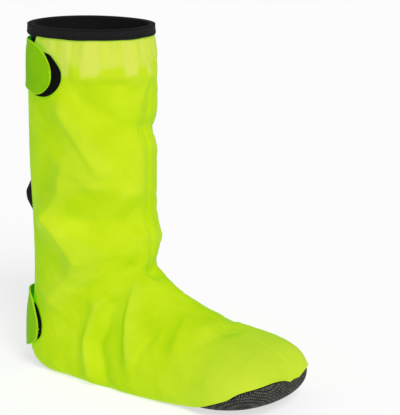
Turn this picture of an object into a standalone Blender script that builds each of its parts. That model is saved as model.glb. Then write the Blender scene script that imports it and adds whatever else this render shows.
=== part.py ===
"""Cycling overshoe for wet weather: a tall cover of coated cloth that is worn over a shoe.

Units are metres and +Z is up. +X points to the toe, -Y to the outer side of the foot and
+Y to the inner side. The cover stands on its sole, which lies on z = 0. Every piece is cut
from one skin: rows run from the rim down the shaft, fan round the heel and throat, and go
on to the toe. A place on the skin is a row number and an angle round the row, from 0 at the
back (under the foot: the middle of the sole) to 180 at the front, positive on the outer side.
"""

import math

import bmesh
import bpy
import numpy as np

# Driving sizes of the cover
COVER_HEIGHT = 0.378
THROAT_HEIGHT = 0.150
SHAFT_DEPTH = 0.140
SHAFT_WIDTH = 0.118
FOOT_LENGTH = 0.319
BALL_WIDTH = 0.132

# Cloth, tape and sole
CLOTH_WALL = 0.0015
GUSSET_WALL = 0.0012
SOLE_WALL = 0.0018
SOLE_RECESS = 0.0006
PATCH_WALL = 0.0012
TAPE_WALL = 0.0010
GAP = 0.0003
STRIP_GAP = 0.0007
SOLE_PRESS = 0.0020

# Rim tape. Its elastic draws the rim in by RIM_SQUEEZE, which fades out over the squeeze rows.
TAPE_BAND = 0.0105
TAPE_LEG = 0.030
TAPE_LAP = 0.0007
RIM_SQUEEZE = 0.0012
SQUEEZE_ROWS = (0.33, 0.62)

# Where the tape's ends lap, as angles round the rim
LAP_FROM = 30
LAP_TO = 62

# Gusset at the back. The bulge's place and spread are row numbers, and its edge is the share
# of the gusset's width that stays flat on each side. The lean moves its top to the outer
# side. Below the dip row the gusset lies deeper.
GUSSET_TUCK = 0.004
GUSSET_END = 0.15
GUSSET_BULGE = 0.012
BULGE_ROW = 3.60
BULGE_SPREAD = 0.42
BULGE_EDGE = 0.13
BULGE_LEAN = 1.9
DIP_ROW = 6.5

# Folds of the cloth
FOLD_WIDTH = 0.010
FOLD_DEPTH = 0.0058
CREST_ROUND = 0.15
GATHER_DEPTH = 0.0007
GATHER_COUNT = 26
GATHER_REACH = 0.022
GATHER_LAST_ROW = 3.0

# Rows of the shaft. front and back are shares of SHAFT_DEPTH, up is a share of the height
# from THROAT_HEIGHT to the rim, wide is a share of SHAFT_WIDTH. cut_out and cut_in are the
# angles where the outer and the inner cloth panel end at the back.
SHAFT_COLUMNS = ("front", "back", "up", "wide", "cut_out", "cut_in")
SHAFT_ROWS = (
    (1.00, 0.030, 1.000, 0.985, 67, 16),
    (1.014, 0.014, 0.795, 1.015, 47, 15),
    (1.014, 0.014, 0.575, 1.015, 38, 14),
    (1.007, 0.014, 0.333, 1.000, 34, 13),
    (1.007, 0.026, 0.136, 0.985, 33, 12),
)
SHAFT_ROUND = 2.1
SHAFT_MIDDLE = 0.50

# Rows of the foot, from the throat and heel to the toe. front_x and back_x are shares of
# FOOT_LENGTH, front_z and back_z of THROAT_HEIGHT, wide of BALL_WIDTH. round_low and
# round_top are the powers of the rounded outline, and middle is how far up it is widest.
FOOT_COLUMNS = ("front_x", "front_z", "back_x", "back_z", "wide",
                "round_low", "round_top", "middle", "cut_out", "cut_in")
FOOT_ROWS = (
    (0.445, 1.013, 0.014, 0.880, 0.864, 2.1, 2.1, 0.48, 33, 12),
    (0.458, 0.913, 0.010, 0.600, 0.818, 2.2, 2.1, 0.44, 34, 13),
    (0.476, 0.840, -0.006, 0.347, 0.780, 2.3, 2.1, 0.38, 35, 17),
    (0.502, 0.780, 0.004, 0.093, 0.770, 2.5, 2.1, 0.32, 37, 26),
    (0.527, 0.733, 0.078, 0.000, 0.780, 2.8, 2.1, 0.28, 38, 34),
    (0.558, 0.687, 0.201, 0.000, 0.815, 3.5, 2.1, 0.28, 37, 37),
    (0.599, 0.640, 0.335, 0.000, 0.865, 4.4, 2.1, 0.29, 37, 37),
    (0.646, 0.593, 0.464, 0.000, 0.910, 4.6, 2.1, 0.30, 38, 38),
    (0.705, 0.547, 0.586, 0.000, 0.950, 4.0, 2.2, 0.33, 42, 42),
    (0.771, 0.507, 0.702, 0.000, 0.985, 3.0, 2.3, 0.36, 48, 50),
    (0.846, 0.467, 0.806, 0.013, 1.015, 2.8, 2.5, 0.38, 76, 64),
    (0.918, 0.420, 0.893, 0.047, 0.940, 2.7, 2.5, 0.40, 94, 78),
    (0.969, 0.347, 0.950, 0.087, 0.758, 2.5, 2.5, 0.42, 114, 98),
    (0.994, 0.267, 0.981, 0.120, 0.485, 2.3, 2.3, 0.45, 157, 138),
    (1.000, 0.187, 0.997, 0.153, 0.061, 2.0, 2.0, 0.50, 180, 180),
)

# Row numbers where pieces begin and end. Folds fade out between the two calm rows at the rim
# and the two at the toe, and the floor presses the skin flat from the press rows on.
HEEL_ROW = 8.15
SEAM_END_ROW = 18.30
TOE_ROWS = (18.36, 18.60, 18.82, 18.98)
RIM_CALM_ROWS = (0.4, 0.7)
TOE_CALM_ROWS = (17.0, 18.0)
PRESS_ROWS = (2.0, 8.0)

# Mesh density
SHAFT_GRID_ROWS = 23
FOOT_GRID_ROWS = 19
PANEL_COLUMNS = 18
SOLE_COLUMNS = 33
GUSSET_ROWS = 24
GUSSET_COLUMNS = 9
TAPE_SEGMENTS = 44

# Folds: a path through three places on the skin, given by rows and angles, with the fold's
# width on the right and on the left of the path as seen from outside, and its depth, as
# shares of FOLD_WIDTH and FOLD_DEPTH. A positive depth is a ridge. Angles under 0 lie on the
# inner side.
FOLD_COLUMNS = ("rows", "angles", "right", "left", "depth")
FOLDS = (
    ((1.00, 1.02, 1.06), (110, 142, 182), 0.9, 2.4, 0.45),
    ((1.50, 1.78, 2.10), (110, 134, 160), 1.4, 1.5, -0.6),
    ((1.74, 2.15, 2.85), (94, 106, 124), 1.4, 2.0, 1.0),
    ((0.95, 1.65, 3.30), (176, 165, 168), 2.0, 1.1, 0.7),
    ((2.10, 2.15, 2.25), (174, 195, 218), 1.1, 1.1, -0.8),
    ((2.80, 3.40, 3.98), (98, 91, 78), 1.6, 2.3, 1.2),
    ((4.06, 4.60, 5.16), (80, 93, 107), 1.6, 1.6, 1.1),
    ((5.20, 5.70, 6.50), (107, 103, 85), 1.6, 2.0, 1.1),
    ((4.00, 4.06, 4.12), (96, 122, 154), 1.9, 2.0, -0.9),
    ((4.92, 5.00, 5.10), (112, 128, 148), 1.0, 2.2, 0.4),
    ((3.16, 3.22, 3.30), (116, 132, 150), 1.6, 1.2, 0.3),
    ((4.60, 4.80, 4.90), (162, 182, 205), 1.5, 1.5, 0.7),
    ((6.40, 6.80, 7.10), (154, 168, 188), 1.0, 1.0, -0.9),
    ((7.57, 7.34, 6.50), (125, 136, 162), 1.2, 1.0, 0.5),
    ((7.70, 9.19, 10.50), (120, 105, 82), 0.9, 0.9, 0.8),
    ((8.06, 9.69, 11.10), (129, 108, 77), 0.9, 0.9, -0.6),
    ((7.90, 9.51, 11.24), (148, 131, 105), 0.8, 1.8, 0.8),
    ((11.40, 11.58, 11.80), (123, 111, 99), 0.7, 0.7, -0.3),
    ((12.00, 12.31, 12.60), (158, 144, 128), 0.7, 0.9, 0.3),
    ((12.90, 13.20, 13.30), (150, 168, 186), 0.9, 0.9, 0.25),
    ((13.36, 13.73, 13.88), (144, 166, 186), 0.8, 0.8, -0.4),
    ((1.50, 2.30, 3.10), (-72, -95, -120), 1.4, 1.8, 0.9),
    ((3.20, 3.90, 4.60), (-66, -84, -105), 1.4, 1.4, -0.7),
    ((4.80, 5.60, 6.30), (-72, -98, -120), 1.6, 1.4, 1.0),
    ((6.40, 6.80, 7.20), (-150, -166, -182), 1.0, 1.0, -0.8),
    ((7.40, 9.00, 10.40), (-118, -104, -85), 0.9, 1.4, 0.7),
    ((9.20, 10.40, 11.40), (-140, -122, -104), 1.0, 1.0, -0.5),
    ((13.20, 13.50, 13.80), (-150, -168, -184), 0.8, 0.8, -0.4),
)

# Tabs and patches: angle, upper row and lower row at each place along the strip, which goes
# from its root on the inner panel round the back to its round end on the outer panel.
UPPER_TAB = (
    (-42, 0.38, 1.34), (-20, 0.34, 1.32), (8, 0.31, 1.30), (36, 0.30, 1.32), (56, 0.31, 1.40),
    (66, 0.36, 1.45), (74, 0.44, 1.42), (80, 0.57, 1.34), (84.5, 0.75, 1.22),
    (86.5, 0.92, 1.07),
)
UPPER_PATCH = (
    (55, 0.52, 1.40), (66, 0.52, 1.48), (76, 0.52, 1.48), (83.5, 0.56, 1.43),
    (88, 0.66, 1.36), (91.5, 0.77, 1.26), (94, 0.87, 1.14), (95, 0.96, 1.04),
)
LOWER_TAB = (
    (-48, 6.36, 7.64), (-24, 6.24, 7.74), (2, 6.10, 7.80), (28, 6.08, 7.80), (46, 6.28, 7.81),
    (56.5, 6.53, 7.83), (64.5, 6.87, 7.83), (70, 7.22, 7.78), (72.3, 7.44, 7.63),
)
LOWER_PATCH = (
    (52, 6.54, 7.66), (60, 6.64, 7.72), (67, 6.84, 7.78), (73, 7.17, 7.76), (76, 7.44, 7.66),
)
TAB_LIFT = 0.0022
TAB_LIFT_MIDDLE = 22
TAB_LIFT_SPREAD = 26
TAB_PRESS = 0.0020
TAB_PRESS_SPREAD = 18
PATCH_FROM = 52
TAB_DROP_SPREAD = 14
TAB_STATIONS = 18
PATCH_STATIONS = 10
TAB_ACROSS = 8

# Colours as linear red, green and blue, with roughness
YELLOW = (0.52, 0.78, 0.03)
TAB_GREEN = (0.26, 0.56, 0.03)
BLACK = (0.012, 0.012, 0.013)
SOLE_BLACK = (0.020, 0.021, 0.020)

DEGREE = math.pi / 180


def skin_table():
    """Every row as front x, front z, back x, back z, half width, powers, middle and cuts."""
    table = []
    for values in SHAFT_ROWS:
        row = dict(zip(SHAFT_COLUMNS, values))
        up = THROAT_HEIGHT + row["up"] * (COVER_HEIGHT - TAPE_WALL - GAP - THROAT_HEIGHT)
        table.append((row["front"] * SHAFT_DEPTH, up, row["back"] * SHAFT_DEPTH, up,
                      row["wide"] * SHAFT_WIDTH / 2, SHAFT_ROUND, SHAFT_ROUND, SHAFT_MIDDLE,
                      row["cut_out"], row["cut_in"]))
    for values in FOOT_ROWS:
        row = dict(zip(FOOT_COLUMNS, values))
        table.append((row["front_x"] * FOOT_LENGTH, row["front_z"] * THROAT_HEIGHT,
                      row["back_x"] * FOOT_LENGTH, row["back_z"] * THROAT_HEIGHT,
                      row["wide"] * BALL_WIDTH / 2, row["round_low"], row["round_top"],
                      row["middle"], row["cut_out"], row["cut_in"]))
    return np.array(table)


TABLE = skin_table()


def row_at(v):
    """The table's values at row numbers v, on one smooth curve through the rows."""
    v = np.asarray(v, float)
    last = len(TABLE) - 1
    i = np.clip(np.floor(v).astype(int), 0, last - 1)
    t = (v - i)[..., None]
    p1 = TABLE[i]
    p2 = TABLE[i + 1]
    p0 = np.where((i > 0)[..., None], TABLE[np.maximum(i - 1, 0)], 2 * p1 - p2)
    p3 = np.where((i < last - 1)[..., None], TABLE[np.minimum(i + 2, last)], 2 * p2 - p1)
    return 0.5 * (2 * p1 + (p2 - p0) * t + (2 * p0 - 5 * p1 + 4 * p2 - p3) * t ** 2
                  + (3 * p1 - p0 - 3 * p2 + p3) * t ** 3)


def rise(v, rows):
    """A straight rise from 0 at the first of two row numbers to 1 at the second."""
    return np.clip((np.asarray(v, float) - rows[0]) / (rows[1] - rows[0]), 0, 1)


def cuts_at(v):
    """The outer and inner cut angles at rows v."""
    row = row_at(v)
    return np.minimum(row[..., 8], 179.0), np.minimum(row[..., 9], 179.0)


def bare_point(v, angle):
    """A point of the skin without folds, at row v and angle in degrees."""
    row = row_at(v)
    angle = np.asarray(angle, float) * DEGREE
    front_x, front_z, back_x, back_z, half, low, top, middle = (row[..., k] for k in range(8))
    sine = np.abs(np.sin(angle))
    cosine = np.abs(np.cos(angle))
    behind = np.cos(angle) > 0
    power = 2 / np.where(behind, low, top)
    share = np.where(behind, middle * (1 - cosine ** power),
                     middle + (1 - middle) * cosine ** power)
    y = -np.sign(np.sin(angle)) * half * sine ** power
    return np.stack([back_x + (front_x - back_x) * share, y,
                     back_z + (front_z - back_z) * share], -1)


def skin_normal(v, angle):
    """The outward direction of the skin."""
    step = 0.01
    along = bare_point(v + step, angle) - bare_point(v - step, angle)
    around = bare_point(v, angle + 50 * step) - bare_point(v, angle - 50 * step)
    normal = np.cross(along, around)
    length = np.linalg.norm(normal, axis=-1, keepdims=True)
    return normal / np.maximum(length, 1e-12)


def fold_lines():
    """Each fold as points of the skin, with its widths on both sides and depth in metres."""
    lines = []
    for values in FOLDS:
        fold = dict(zip(FOLD_COLUMNS, values))
        lines.append((bare_point(fold["rows"], fold["angles"]), fold["right"] * FOLD_WIDTH,
                      fold["left"] * FOLD_WIDTH, fold["depth"] * FOLD_DEPTH))
    return lines


FOLD_LINES = fold_lines()


def crest(reach):
    """A fold's height across its path: 1 on it with a crisp turn, and 0 at twice its width."""
    turned = np.sqrt(reach ** 2 + CREST_ROUND ** 2) - CREST_ROUND
    return (1 - np.minimum(turned / 2, 1)) ** 2


def fold_height(points, v, angle):
    """How far the cloth stands out at each point, from its folds and the rim's gathers."""
    height = np.zeros(points.shape[:-1])
    normal = skin_normal(v, angle)
    for line, right, left, depth in FOLD_LINES:
        nearest = np.full(points.shape[:-1], np.inf)
        aside = np.zeros(points.shape[:-1])
        for start, end in zip(line[:-1], line[1:]):
            run = end - start
            share = np.clip(((points - start) @ run) / (run @ run), 0, 1)
            away = points - start - share[..., None] * run
            distance = np.linalg.norm(away, axis=-1)
            across = np.cross(run / np.linalg.norm(run), normal)
            closer = distance < nearest
            aside = np.where(closer, (across * away).sum(-1), aside)
            nearest = np.where(closer, distance, nearest)
        lean = np.clip(aside / np.maximum(nearest, 1e-9), -1, 1)
        width = left + (right - left) * (1 + lean) / 2
        height += depth * crest(nearest / width)
    below = COVER_HEIGHT - TAPE_BAND - points[..., 2]
    reach = np.exp(-(below / GATHER_REACH) ** 2) * (below > 0) * (v < GATHER_LAST_ROW)
    height += GATHER_DEPTH * reach * np.sin(angle * DEGREE * GATHER_COUNT)
    return height * rise(v, RIM_CALM_ROWS) * (1 - rise(v, TOE_CALM_ROWS))


def rim_squeeze(v):
    """How far the tape's elastic draws the skin in."""
    return -RIM_SQUEEZE * (1 - rise(v, SQUEEZE_ROWS))


def skin_point(v, angle, out=0.0, folds=True):
    """A point out metres off the folded skin. What would sink into the floor lies on it."""
    bare = bare_point(v, angle)
    height = rim_squeeze(v) + (fold_height(bare, v, angle) if folds else 0.0)
    point = bare + skin_normal(v, angle) * np.asarray(height + out)[..., None]
    point[..., 2] = np.maximum(point[..., 2] - SOLE_PRESS * rise(v, PRESS_ROWS), 0.0)
    return point


def degrees_for(length, v, angle):
    """The angle that a short length takes along a row."""
    step = 0.5
    run = np.linalg.norm(bare_point(v, angle + step) - bare_point(v, angle - step), axis=-1)
    return length * 2 * step / run


def even_rows(first, last, count):
    """Row numbers from first to last, spaced evenly along the cover's front, back, side and
    cut edge, so that the edge's sweep round the toe gets rows of its own."""
    fine = np.linspace(first, last, 400)
    edges = (np.full(400, 180.0), np.zeros(400), np.full(400, 90.0), cuts_at(fine)[0],
             cuts_at(fine)[0])
    step = sum(np.linalg.norm(np.diff(bare_point(fine, edge), axis=0), axis=1)
               for edge in edges)
    length = np.concatenate([[0.0], np.cumsum(step)])
    return np.interp(np.linspace(0, length[-1], count), length, fine)


def even_angles(v, first, last, count):
    """Angles from first to last along row v, spaced evenly along the cloth."""
    fine = np.linspace(first, last, 121)
    points = bare_point(np.full(121, v), fine)
    length = np.concatenate([[0.0], np.cumsum(np.linalg.norm(np.diff(points, axis=0), axis=1))])
    return np.interp(np.linspace(0, length[-1], count), length, fine)


def add_object(name, vertices, faces, material):
    """A mesh object with its faces turned outward and shaded smooth."""
    mesh = bpy.data.meshes.new(name)
    mesh.from_pydata([tuple(p) for p in vertices], [], faces)
    body = bmesh.new()
    body.from_mesh(mesh)
    bmesh.ops.recalc_face_normals(body, faces=body.faces)
    body.to_mesh(mesh)
    body.free()
    mesh.materials.append(material)
    mesh.shade_smooth()
    mesh.set_sharp_from_angle(angle=40 * DEGREE)
    piece = bpy.data.objects.new(name, mesh)
    bpy.context.scene.collection.objects.link(piece)
    return piece


def add_shell(name, outer, inner, material, closed_from=None, pole=False):
    """A wall between two grids of points. From row closed_from its two side edges meet, and
    with a pole its last row is one point."""
    rows, columns = outer.shape[:2]
    vertices = []
    index = np.zeros((2, rows, columns), int)
    for layer, grid in enumerate((outer, inner)):
        for i in range(rows):
            for j in range(columns):
                at_pole = pole and i == rows - 1 and j > 0
                at_join = closed_from is not None and i >= closed_from and j == columns - 1
                if at_pole or at_join:
                    index[layer, i, j] = index[layer, i, 0]
                else:
                    index[layer, i, j] = len(vertices)
                    vertices.append(grid[i, j])
    faces = []

    def add_face(*corners):
        kept = list(dict.fromkeys(int(c) for c in corners))
        if len(kept) > 2:
            faces.append(kept)

    for i in range(rows - 1):
        for j in range(columns - 1):
            for layer in index:
                add_face(layer[i, j], layer[i + 1, j], layer[i + 1, j + 1], layer[i, j + 1])
        if closed_from is None or i < closed_from:
            for j in (0, columns - 1):
                add_face(index[0, i, j], index[0, i + 1, j], index[1, i + 1, j], index[1, i, j])
    for j in range(columns - 1):
        for i in (0,) if pole else (0, rows - 1):
            add_face(index[0, i, j], index[0, i, j + 1], index[1, i, j + 1], index[1, i, j])
    return add_object(name, vertices, faces, material)


def wall_between(rows, angles, out, wall, folds=True):
    """The outer and inner grid of a wall whose outer face lies out metres off the skin."""
    v = np.repeat(np.asarray(rows)[:, None], angles.shape[1], axis=1)
    outer = skin_point(v, angles, out, folds)
    return outer, outer - skin_normal(v, angles) * wall


def panel_rows():
    """The rows that both panels and the sole share, so that their edges run side by side."""
    shaft = even_rows(0.0, HEEL_ROW, SHAFT_GRID_ROWS)
    foot = even_rows(HEEL_ROW, SEAM_END_ROW, FOOT_GRID_ROWS + 1)
    return np.concatenate([shaft, foot[1:]]), len(shaft) - 1


def make_panel(name, side, material):
    """One cloth half, from the front seam to its edge at the back and along the sole."""
    rows, _ = panel_rows()
    cut = cuts_at(rows)[0 if side > 0 else 1]
    angles = []
    for v, edge in zip(rows, cut):
        first = 180 - degrees_for(GAP / 2, v, 180 - 1.0)
        last = edge + degrees_for(GAP / 2, v, max(edge, 20.0))
        angles.append(side * even_angles(v, first, last, PANEL_COLUMNS))
    return add_shell(name, *wall_between(rows, np.array(angles), 0.0, CLOTH_WALL), material)


def make_sole(material):
    """The sole, from the back of the heel to the toe, where it closes over the tip."""
    rows, heel = panel_rows()
    rows = np.concatenate([rows[heel:], TOE_ROWS])
    cut_out, cut_in = cuts_at(rows)
    angles = []
    for v, out_edge, in_edge in zip(rows, cut_out, cut_in):
        slack = degrees_for(GAP / 2, v, max(out_edge, 20.0))
        last = out_edge - slack
        first = -(in_edge - slack)
        if v >= TOE_ROWS[0]:
            first, last = -180.0, 180.0
        angles.append(even_angles(v, first, last, SOLE_COLUMNS))
    outer, inner = wall_between(rows, np.array(angles), -SOLE_RECESS, SOLE_WALL, folds=False)
    for grid in (outer, inner):
        grid[-1] = grid[-1].mean(axis=0)
    closed = int(np.argmax(rows >= TOE_ROWS[0]))
    return add_shell("sole", outer, inner, material, closed_from=closed, pole=True)


def make_gusset(material):
    """The black strip behind the two panels' rear edges, bulging at mid height."""
    rows = even_rows(0.0, HEEL_ROW - GUSSET_END, GUSSET_ROWS)
    cut_out, cut_in = cuts_at(rows)
    tuck = GUSSET_TUCK * np.clip(HEEL_ROW - rows, 0.25, 1)
    tuck_out = degrees_for(tuck, rows, cut_out)
    tuck_in = degrees_for(tuck, rows, cut_in)
    share = np.linspace(0, 1, GUSSET_COLUMNS)
    angles = -(cut_in + tuck_in)[:, None] * (1 - share) + (cut_out + tuck_out)[:, None] * share
    v = np.repeat(rows[:, None], GUSSET_COLUMNS, axis=1)
    # A little deeper at the heel, where the panels' corners bend most
    depth = -(CLOTH_WALL + STRIP_GAP * (1 + np.clip(v - DIP_ROW, 0, 1)))
    inner_share = np.clip((share - BULGE_EDGE) / (1 - 2 * BULGE_EDGE), 0, 1)
    bulge = GUSSET_BULGE * np.exp(-((v - BULGE_ROW) / BULGE_SPREAD) ** 2)
    bulge = bulge * np.sin(math.pi * inner_share ** BULGE_LEAN) ** 2
    outer = skin_point(v, angles, depth + bulge)
    inner = outer - skin_normal(v, angles) * GUSSET_WALL
    return add_shell("rear_gusset", outer, inner, material)


def make_tape(material):
    """The elastic tape folded over the rim, with a short band outside and a deep leg inside."""
    out = STRIP_GAP - RIM_SQUEEZE
    inside = -(RIM_SQUEEZE + CLOTH_WALL + 2 * STRIP_GAP + GUSSET_WALL)
    rim = TABLE[0, 1]
    profile = (
        (out, COVER_HEIGHT - TAPE_BAND), (out + TAPE_WALL, COVER_HEIGHT - TAPE_BAND),
        (out + TAPE_WALL, COVER_HEIGHT - TAPE_WALL / 2), (out + TAPE_WALL / 2, COVER_HEIGHT),
        (inside - TAPE_WALL / 2, COVER_HEIGHT), (inside - TAPE_WALL, COVER_HEIGHT - TAPE_WALL / 2),
        (inside - TAPE_WALL, COVER_HEIGHT - TAPE_LEG), (inside, COVER_HEIGHT - TAPE_LEG),
        (inside, rim + GAP), (out, rim + GAP),
    )
    turn = np.arange(TAPE_SEGMENTS) * 360.0 / TAPE_SEGMENTS - 180.0
    per_row = (TABLE[0, 1] - TABLE[1, 1])
    rings = []
    for offset, z in profile:
        v = np.full(TAPE_SEGMENTS, max((rim - z) / per_row, 0.0))
        lap = TAPE_LAP * ((turn > LAP_FROM) & (turn < LAP_TO)) * (offset > out)
        ring = bare_point(v, turn) + skin_normal(v, turn) * (offset + lap)[:, None]
        ring[:, 2] = z
        rings.append(ring)
    rings = np.array(rings)
    count = len(profile)
    vertices = rings.reshape(-1, 3)
    faces = []
    for k in range(count):
        for j in range(TAPE_SEGMENTS):
            k2 = (k + 1) % count
            j2 = (j + 1) % TAPE_SEGMENTS
            faces.append([k * TAPE_SEGMENTS + j, k2 * TAPE_SEGMENTS + j,
                          k2 * TAPE_SEGMENTS + j2, k * TAPE_SEGMENTS + j2])
    return add_object("top_tape", vertices, faces, material)


def make_strip(name, stations, count, out, wall, material, drop=0.0, lift=0.0, spread=1.0):
    """A tab or a patch that follows the skin through its stations, out metres above it. It
    lies lower by drop where no patch is under it, and stands off by lift at the back."""
    place = np.array(stations, float)
    old = np.linspace(0, 1, len(place))
    # Closer together towards the round end
    new = 1 - (1 - np.linspace(0, 1, count)) ** 1.5
    angle = np.interp(new, old, place[:, 0])
    high = np.interp(new, old, place[:, 1])
    low = np.interp(new, old, place[:, 2])
    share = np.linspace(0, 1, TAB_ACROSS)
    v = high[:, None] * (1 - share) + low[:, None] * share
    angles = np.repeat(angle[:, None], TAB_ACROSS, axis=1)
    stand = out + lift * np.exp(-((angles - TAB_LIFT_MIDDLE) / spread) ** 2)
    stand = stand - drop * rise(-angles, (-PATCH_FROM, TAB_DROP_SPREAD - PATCH_FROM))
    outer = skin_point(v, angles, stand + wall)
    inner = outer - skin_normal(v, angles) * wall
    return add_shell(name, outer, inner, material)


def make_material(name, colour, roughness):
    """A plain finish in the piece's colour."""
    material = bpy.data.materials.new(name)
    material.use_nodes = True
    shader = material.node_tree.nodes["Principled BSDF"]
    shader.inputs["Base Color"].default_value = (*colour, 1.0)
    shader.inputs["Roughness"].default_value = roughness
    shader.inputs["Metallic"].default_value = 0.0
    material.diffuse_color = (*colour, 1.0)
    return material


def centre_on_floor(pieces):
    """Puts the middle of the whole cover's box over the origin."""
    corners = np.array([tuple(v.co) for piece in pieces for v in piece.data.vertices])
    middle = (corners.min(axis=0) + corners.max(axis=0)) / 2
    for piece in pieces:
        for vertex in piece.data.vertices:
            vertex.co.x -= middle[0]
            vertex.co.y -= middle[1]


def main():
    for old in list(bpy.data.objects):
        bpy.data.objects.remove(old, do_unlink=True)
    cloth = make_material("coated_cloth_yellow", YELLOW, 0.45)
    tab_cloth = make_material("coated_cloth_tab", TAB_GREEN, 0.5)
    black_cloth = make_material("black_gusset_cloth", BLACK, 0.7)
    tape = make_material("black_elastic_tape", BLACK, 0.75)
    loop = make_material("black_loop_fabric", BLACK, 0.95)
    sole = make_material("black_grip_sole", SOLE_BLACK, 0.8)
    over_patch = PATCH_WALL + 2 * STRIP_GAP
    pieces = [
        make_panel("lateral_panel", 1, cloth),
        make_panel("medial_panel", -1, cloth),
        make_gusset(black_cloth),
        make_sole(sole),
        make_tape(tape),
        make_strip("upper_loop_patch", UPPER_PATCH, PATCH_STATIONS, STRIP_GAP, PATCH_WALL, loop),
        make_strip("upper_tab", UPPER_TAB, TAB_STATIONS, over_patch, CLOTH_WALL, tab_cloth,
                   drop=PATCH_WALL, lift=-TAB_PRESS, spread=TAB_PRESS_SPREAD),
        make_strip("lower_loop_patch", LOWER_PATCH, PATCH_STATIONS, STRIP_GAP, PATCH_WALL, loop),
        make_strip("lower_tab", LOWER_TAB, TAB_STATIONS, over_patch, CLOTH_WALL, tab_cloth,
                   lift=TAB_LIFT, spread=TAB_LIFT_SPREAD),
    ]
    centre_on_floor(pieces)


main()
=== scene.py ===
import math

import bmesh
import bpy
import numpy as np
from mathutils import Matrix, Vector, noise


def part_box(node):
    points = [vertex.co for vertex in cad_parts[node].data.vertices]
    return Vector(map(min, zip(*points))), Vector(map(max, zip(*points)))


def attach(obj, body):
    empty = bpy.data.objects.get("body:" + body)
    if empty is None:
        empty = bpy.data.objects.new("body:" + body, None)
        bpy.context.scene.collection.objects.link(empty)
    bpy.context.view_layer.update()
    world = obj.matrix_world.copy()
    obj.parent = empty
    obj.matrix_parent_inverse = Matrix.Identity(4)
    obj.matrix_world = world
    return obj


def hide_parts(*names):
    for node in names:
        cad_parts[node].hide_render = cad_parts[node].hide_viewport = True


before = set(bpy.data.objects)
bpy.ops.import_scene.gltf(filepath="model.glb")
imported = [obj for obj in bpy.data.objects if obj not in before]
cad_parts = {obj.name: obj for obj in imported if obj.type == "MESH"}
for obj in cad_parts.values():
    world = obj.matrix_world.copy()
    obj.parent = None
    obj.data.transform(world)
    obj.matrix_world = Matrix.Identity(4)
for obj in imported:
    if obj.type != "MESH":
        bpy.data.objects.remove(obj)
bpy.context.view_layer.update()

degree = math.pi / 180

# driving sizes of the cover, in metres, as in the CAD
cover = {
    "height": 0.378, "throatHeight": 0.150, "shaftDepth": 0.140, "shaftWidth": 0.118,
    "footLength": 0.319, "ballWidth": 0.132,
    "clothWall": 0.0015, "gap": 0.0003, "stripGap": 0.0007, "press": 0.0020,
    "shaftRound": 2.1, "shaftMiddle": 0.50,
    "heelRow": 8.15, "seamEndRow": 18.30, "toeRows": (18.36, 18.98),
    "rimCalm": (0.4, 0.7), "toeCalm": (17.0, 18.0), "pressRows": (2.0, 8.0),
}

# shaft rows: front, back, up, wide, outer cut, inner cut
shaftRows = (
    (1.00, 0.030, 1.000, 0.985, 67, 16),
    (1.014, 0.014, 0.795, 1.015, 47, 15),
    (1.014, 0.014, 0.575, 1.015, 38, 14),
    (1.007, 0.014, 0.333, 1.000, 34, 13),
    (1.007, 0.026, 0.136, 0.985, 33, 12),
)

# foot rows: front x, front z, back x, back z, wide, power below, power above, middle, cuts
footRows = (
    (0.445, 1.013, 0.014, 0.880, 0.864, 2.1, 2.1, 0.48, 33, 12),
    (0.458, 0.913, 0.010, 0.600, 0.818, 2.2, 2.1, 0.44, 34, 13),
    (0.476, 0.840, -0.006, 0.347, 0.780, 2.3, 2.1, 0.38, 35, 17),
    (0.502, 0.780, 0.004, 0.093, 0.770, 2.5, 2.1, 0.32, 37, 26),
    (0.527, 0.733, 0.078, 0.000, 0.780, 2.8, 2.1, 0.28, 38, 34),
    (0.558, 0.687, 0.201, 0.000, 0.815, 3.5, 2.1, 0.28, 37, 37),
    (0.599, 0.640, 0.335, 0.000, 0.865, 4.4, 2.1, 0.29, 37, 37),
    (0.646, 0.593, 0.464, 0.000, 0.910, 4.6, 2.1, 0.30, 38, 38),
    (0.705, 0.547, 0.586, 0.000, 0.950, 4.0, 2.2, 0.33, 42, 42),
    (0.771, 0.507, 0.702, 0.000, 0.985, 3.0, 2.3, 0.36, 48, 50),
    (0.846, 0.467, 0.806, 0.013, 1.015, 2.8, 2.5, 0.38, 76, 64),
    (0.918, 0.420, 0.893, 0.047, 0.940, 2.7, 2.5, 0.40, 94, 78),
    (0.969, 0.347, 0.950, 0.087, 0.758, 2.5, 2.5, 0.42, 114, 98),
    (0.994, 0.267, 0.981, 0.120, 0.485, 2.3, 2.3, 0.45, 157, 138),
    (1.000, 0.187, 0.997, 0.153, 0.061, 2.0, 2.0, 0.50, 180, 180),
)


def skinTable():
    table = []
    for front, back, up, wide, cutOut, cutIn in shaftRows:
        rim = cover["height"] - tape["wall"] - cover["gap"]
        z = cover["throatHeight"] + up * (rim - cover["throatHeight"])
        table.append((front * cover["shaftDepth"], z, back * cover["shaftDepth"], z,
                      wide * cover["shaftWidth"] / 2, cover["shaftRound"], cover["shaftRound"],
                      cover["shaftMiddle"], cutOut, cutIn))
    for frontX, frontZ, backX, backZ, wide, low, top, middle, cutOut, cutIn in footRows:
        table.append((frontX * cover["footLength"], frontZ * cover["throatHeight"],
                      backX * cover["footLength"], backZ * cover["throatHeight"],
                      wide * cover["ballWidth"] / 2, low, top, middle, cutOut, cutIn))
    return np.array(table)


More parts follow.
